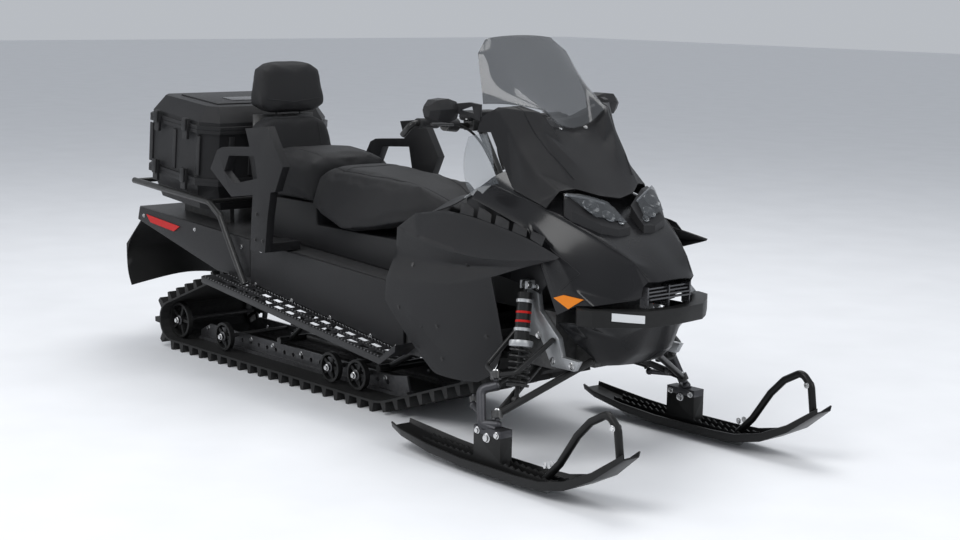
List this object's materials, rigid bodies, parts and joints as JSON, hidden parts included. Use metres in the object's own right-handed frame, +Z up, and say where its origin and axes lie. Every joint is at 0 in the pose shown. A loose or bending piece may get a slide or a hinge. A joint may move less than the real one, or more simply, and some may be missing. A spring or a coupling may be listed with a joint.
{
  "type": "snowmobile",
  "caption": "Long-bodied utility snowmobile with steered skis, a lugged drive track, bench seats with rests and hand grips, a tall screen, mirrors and a lidded cargo box",
  "frame": {"origin": "on the floor under the middle of the machine, midway between the ski tips and the snow flap", "axes": "+X ahead to the ski tips, +Y to the rider's left, +Z up"},
  "size_m": [3.314, 1.084, 1.419],
  "materials": {
    "black_steel": "satin black coated steel",
    "body_plastic": "fine grained black",
    "box_plastic": "grained black moulding",
    "bumper_plastic": "satin black",
    "cast_alloy": "light grey cast",
    "engine_metal": "cast",
    "flap_rubber": "matte",
    "forged_steel": "dark grey forged",
    "grille_trim": "satin silver edged",
    "grip_plastic": "grained black moulding",
    "hood_gloss": "glossy black",
    "lamp_lens": "clear lens",
    "rail_alloy": "dark anodised",
    "red_lens": "clear red lens",
    "runner_steel": "bare",
    "seat_cover": "dark grained cover",
    "ski_plastic": "black moulded",
    "tinted_screen": "tinted see-through",
    "track_rubber": "matte black rubber",
    "tunnel_sheet": "satin black coated sheet",
    "wheel_plastic": "black moulded"
  },
  "bodies": {
    "chassis": {"backrest": "seat_cover", "belly_pan": "hood_gloss", "box_riser": "box_plastic", "box_tub": "box_plastic", "bulkhead": "black_steel", "bumper": "bumper_plastic", "console": "body_plastic", "drive_axle": "black_steel", "driver_seat": "seat_cover", "engine": "engine_metal", "fairing": "body_plastic", "front_arms": "black_steel", "front_shocks": "black_steel", "grille": "grille_trim", "headlamps": "lamp_lens", "headrest": "seat_cover", "hood": "hood_gloss", "idler_wheels": "wheel_plastic", "louvres": "body_plastic", "mirrors": "body_plastic", "passenger_grips": "grip_plastic", "passenger_seat": "seat_cover", "rear_rack": "black_steel", "running_boards": "tunnel_sheet", "seat_base": "body_plastic", "side_covers": "body_plastic", "side_panels": "body_plastic", "slide_frame": "black_steel", "slide_rails": "rail_alloy", "snow_flap": "flap_rubber", "steering_bearing": "black_steel", "tail_lamp": "red_lens", "tail_panel": "body_plastic", "tow_hitch": "black_steel", "towers": "cast_alloy", "track": "track_rubber", "tunnel": "tunnel_sheet", "windscreen": "tinted_screen"},
    "handlebar": {"handlebar": "black_steel"},
    "box_lid": {"box_lid": "box_plastic"},
    "ski_left": {"spindle_left": "forged_steel", "ski_left": "ski_plastic", "ski_runner_left": "runner_steel"},
    "tie_rod_left": {"tie_rod_left": "black_steel"},
    "ski_right": {"spindle_right": "forged_steel", "ski_right": "ski_plastic", "ski_runner_right": "runner_steel"},
    "tie_rod_right": {"tie_rod_right": "black_steel"}
  },
  "joints": [
    {"name": "steering", "type": "hinge", "parent": "chassis", "child": "handlebar", "pos_m": [0.42, 0, 1.088], "axis": [-0.5507, 0, 0.8347], "range_deg": [-35, 35]},
    {"name": "ski_left_steer", "type": "hinge", "parent": "chassis", "child": "ski_left", "pos_m": [1.037, 0.453, 0.201], "axis": [-0.3424, -0.2511, 0.9054], "range_deg": [-28, 28]},
    {"name": "ski_right_steer", "type": "hinge", "parent": "chassis", "child": "ski_right", "pos_m": [1.037, -0.453, 0.201], "axis": [-0.3424, 0.2511, 0.9054], "range_deg": [-28, 28]},
    {"name": "tie_left", "type": "hinge", "parent": "ski_left", "child": "tie_rod_left", "pos_m": [0.88747, 0.42448, 0.22092], "axis": [-0.3424, -0.2511, 0.9054], "range_deg": [-28, 28]},
    {"name": "tie_right", "type": "hinge", "parent": "ski_right", "child": "tie_rod_right", "pos_m": [0.88747, -0.42448, 0.22092], "axis": [-0.3424, 0.2511, 0.9054], "range_deg": [-28, 28]},
    {"name": "box_lid_hinge", "type": "hinge", "parent": "chassis", "child": "box_lid", "pos_m": [-1.13438, 0.341, 1.00452], "axis": [-0.9962, 0, 0.0872], "range_deg": [0, 95]}
  ],
  "couplings": [
    {"joint": "ski_left_steer", "follows": "steering", "ratio": 0.8},
    {"joint": "ski_right_steer", "follows": "steering", "ratio": 0.8},
    {"joint": "tie_left", "follows": "steering", "ratio": -0.8},
    {"joint": "tie_right", "follows": "steering", "ratio": -0.8}
  ]
}
